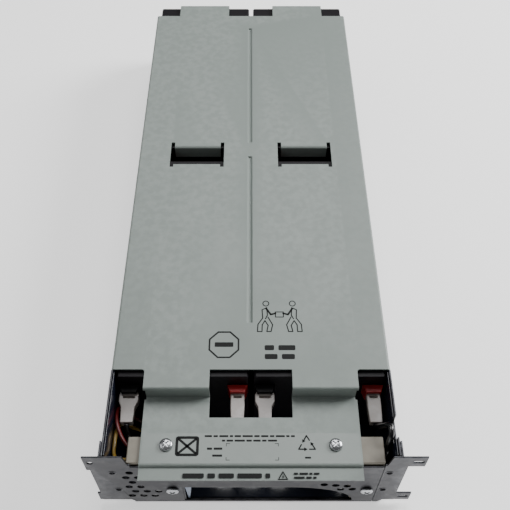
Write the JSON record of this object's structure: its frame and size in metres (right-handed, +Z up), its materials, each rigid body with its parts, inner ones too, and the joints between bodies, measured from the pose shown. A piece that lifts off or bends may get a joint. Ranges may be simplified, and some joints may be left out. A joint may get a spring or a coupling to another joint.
{
  "type": "rack battery module",
  "caption": "Long rack battery module: sheet-steel tray with two columns of sealed blocks, a lift-off painted cover, rack ears, crossbar and terminal wiring.",
  "frame": {"origin": "underside of the tray floor, at its centre across and along", "axes": "+Y towards the rear connector, along the length; +X to the right seen from the front; +Z up through the cover"},
  "size_m": [0.2195, 0.51, 0.082],
  "materials": {
    "galvanised_steel": "galvanised sheet with a fine spangle, bluish grey",
    "cover_paint": "fine textured powder coat, pale grey-green",
    "case_plastic": "moulded black case, satin",
    "lid_plastic": "moulded black lid, slightly glossy",
    "red_plastic": "deep red moulded terminal base",
    "black_plastic": "black moulded terminal base",
    "cream_plastic": "cream moulded bar, satin",
    "liner_film": "thin glossy black film",
    "foam": "closed-cell black foam",
    "screw_steel": "bright zinc-plated steel",
    "connector_plastic": "dark grey moulded housing",
    "brass": "plain brass link",
    "nylon": "milky translucent nylon",
    "black_cable": "glossy black cable insulation",
    "red_cable": "red cable insulation",
    "yellow_cable": "yellow cable insulation"
  },
  "bodies": {
    "chassis": {"tray": "galvanised_steel", "front_panel": "galvanised_steel", "ear_bracket": "galvanised_steel", "liner_film": "liner_film", "foam_pad": "foam", "crossbar": "cream_plastic", "panel_screw_left": "screw_steel", "panel_screw_right": "screw_steel", "output_connector": "connector_plastic", "battery_case_left_1": "case_plastic", "battery_lid_left_1": "lid_plastic", "terminal_negative_left_1": "black_plastic", "terminal_positive_left_1": "red_plastic", "battery_case_left_2": "case_plastic", "battery_lid_left_2": "lid_plastic", "terminal_negative_left_2": "black_plastic", "terminal_positive_left_2": "red_plastic", "battery_case_left_3": "case_plastic", "battery_lid_left_3": "lid_plastic", "terminal_negative_left_3": "black_plastic", "terminal_positive_left_3": "red_plastic", "battery_case_left_4": "case_plastic", "battery_lid_left_4": "lid_plastic", "terminal_negative_left_4": "black_plastic", "terminal_positive_left_4": "red_plastic", "battery_case_right_1": "case_plastic", "battery_lid_right_1": "lid_plastic", "terminal_negative_right_1": "black_plastic", "terminal_positive_right_1": "red_plastic", "battery_case_right_2": "case_plastic", "battery_lid_right_2": "lid_plastic", "terminal_negative_right_2": "black_plastic", "terminal_positive_right_2": "red_plastic", "battery_case_right_3": "case_plastic", "battery_lid_right_3": "lid_plastic", "terminal_negative_right_3": "black_plastic", "terminal_positive_right_3": "red_plastic", "battery_case_right_4": "case_plastic", "battery_lid_right_4": "lid_plastic", "terminal_negative_right_4": "black_plastic", "terminal_positive_right_4": "red_plastic", "middle_link_left": "brass", "middle_link_right": "brass", "sleeve_left": "nylon", "sleeve_middle_left": "nylon", "sleeve_middle_right": "nylon", "sleeve_right": "nylon", "lead_positive_left": "black_cable", "lead_positive_right": "black_cable", "lead_negative_left": "black_cable", "lead_negative_right": "black_cable", "jumper_front_left": "black_cable", "jumper_front_right": "black_cable", "jumper_rear_left": "black_cable", "jumper_rear_right": "black_cable", "sense_wire_red": "red_cable", "sense_wire_yellow": "yellow_cable"},
    "cover": {"cover": "cover_paint", "cover_screw_left": "screw_steel", "cover_screw_right": "screw_steel"}
  },
  "joints": [
    {"name": "cover_lift", "type": "slide", "parent": "chassis", "child": "cover", "axis": [0, 0, 1], "range_m": [0, 0.09]}
  ]
}
